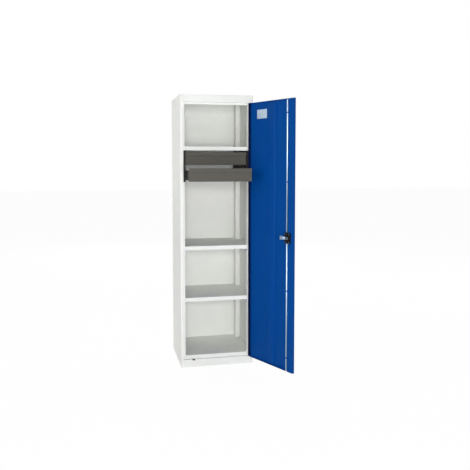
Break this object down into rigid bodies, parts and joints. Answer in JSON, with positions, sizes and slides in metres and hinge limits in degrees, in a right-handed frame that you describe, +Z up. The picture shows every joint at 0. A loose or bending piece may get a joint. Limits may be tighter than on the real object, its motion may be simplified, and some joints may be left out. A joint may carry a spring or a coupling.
{
  "type": "tool cabinet",
  "caption": "Tall narrow steel tool cabinet with a swing door and rod lock, adjustable shelves and pull-out drawers, for keeping tools and supplies.",
  "frame": {"origin": "on the floor under the middle of the carcass footprint", "axes": "+X to the right as one faces the door, +Y to the back, +Z up"},
  "size_m": [0.7134, 0.9595, 1.95],
  "materials": {
    "carcass_paint": "light grey powder coat, fine orange peel",
    "door_paint": "gentian blue powder coat, satin",
    "drawer_paint": "warm dark grey powder coat",
    "black_paint": "black grey, satin",
    "zinc_plate": "bright zinc plate",
    "black_plastic": "moulded, fine grain",
    "lock_metal": "nickel-plated",
    "buffer_rubber": "blue, matt",
    "seal_rubber": "blue black, matt"
  },
  "bodies": {
    "carcass": {"right_side_panel": "carcass_paint", "left_side_panel": "carcass_paint", "rear_panel": "carcass_paint", "top_panel": "carcass_paint", "top_rail": "carcass_paint", "right_front_post": "carcass_paint", "left_front_post": "carcass_paint", "right_rear_upright": "carcass_paint", "left_rear_upright": "carcass_paint", "plinth_front": "carcass_paint", "floor_panel": "carcass_paint", "base_frame": "carcass_paint", "foot_brackets": "carcass_paint", "levelling_feet": "zinc_plate", "upper_shelf": "carcass_paint", "middle_shelf": "carcass_paint", "lower_shelf": "carcass_paint", "shelf_clips": "zinc_plate", "right_drawer_carrier": "black_paint", "left_drawer_carrier": "black_paint", "carrier_spacers": "black_paint", "carrier_screws": "zinc_plate", "upper_outer_rails": "black_paint", "lower_outer_rails": "black_paint", "rod_keepers": "black_plastic", "frame_hinge_leaves": "carcass_paint", "hinge_pins": "zinc_plate"},
    "door": {"door_panel": "door_paint", "door_top_flange": "door_paint", "door_bottom_flange": "door_paint", "door_hinge_flange": "door_paint", "door_seal": "seal_rubber", "door_lock_stile": "door_paint", "door_stiffener": "door_paint", "door_plate": "zinc_plate", "plate_rivets": "zinc_plate", "door_buffers": "buffer_rubber", "door_hinge_leaves": "door_paint", "lock_case": "black_plastic", "lock_case_screws": "zinc_plate", "rod_guides": "door_paint", "handle_base": "black_plastic"},
    "handle": {"handle_lever": "black_plastic", "handle_spindle": "zinc_plate", "latch_blade": "zinc_plate", "blade_screw": "black_plastic"},
    "key_plug": {"key_plug": "lock_metal"},
    "upper_rod": {"upper_lock_rod": "zinc_plate"},
    "lower_rod": {"lower_lock_rod": "zinc_plate"},
    "upper_runner": {"upper_middle_rails": "black_paint"},
    "upper_drawer": {"upper_drawer_front": "drawer_paint", "upper_drawer_tray": "drawer_paint", "upper_inner_rails": "black_paint"},
    "lower_runner": {"lower_middle_rails": "black_paint"},
    "lower_drawer": {"lower_drawer_front": "drawer_paint", "lower_drawer_tray": "drawer_paint", "lower_inner_rails": "black_paint"}
  },
  "joints": [
    {"name": "door_hinge", "type": "hinge", "parent": "carcass", "child": "door", "pos_m": [0.24475, -0.255, 0.97625], "axis": [0, 0, 1], "range_deg": [-114, 16]},
    {"name": "handle_turn", "type": "hinge", "parent": "door", "child": "handle", "pos_m": [0.41579, -0.65146, 0.968], "axis": [-0.9135, -0.4067, 0], "range_deg": [0, 180]},
    {"name": "key_turn", "type": "hinge", "parent": "handle", "child": "key_plug", "pos_m": [0.41579, -0.65146, 0.968], "axis": [-0.9135, -0.4067, 0], "range_deg": [0, 90]},
    {"name": "upper_rod_slide", "type": "slide", "parent": "door", "child": "upper_rod", "axis": [0, 0, 1], "range_m": [0, 0.02]},
    {"name": "lower_rod_slide", "type": "slide", "parent": "door", "child": "lower_rod", "axis": [0, 0, -1], "range_m": [0, 0.02]},
    {"name": "upper_drawer_slide", "type": "slide", "parent": "carcass", "child": "upper_drawer", "axis": [0, -1, 0], "range_m": [-0.085, 0.3]},
    {"name": "upper_runner_slide", "type": "slide", "parent": "carcass", "child": "upper_runner", "axis": [0, -1, 0], "range_m": [-0.0425, 0.15]},
    {"name": "lower_runner_slide", "type": "slide", "parent": "carcass", "child": "lower_runner", "axis": [0, -1, 0], "range_m": [-0.26, 0.03654]},
    {"name": "lower_drawer_slide", "type": "slide", "parent": "lower_runner", "child": "lower_drawer", "axis": [0, -1, 0], "range_m": [0, 0.1]}
  ],
  "couplings": [
    {"joint": "upper_rod_slide", "follows": "handle_turn", "m_per_rad": 0.0063662},
    {"joint": "lower_rod_slide", "follows": "handle_turn", "m_per_rad": 0.0063662},
    {"joint": "upper_runner_slide", "follows": "upper_drawer_slide", "ratio": 0.5},
    {"joint": "lower_runner_slide", "follows": "door_hinge", "m_per_rad": 0.13067}
  ]
}
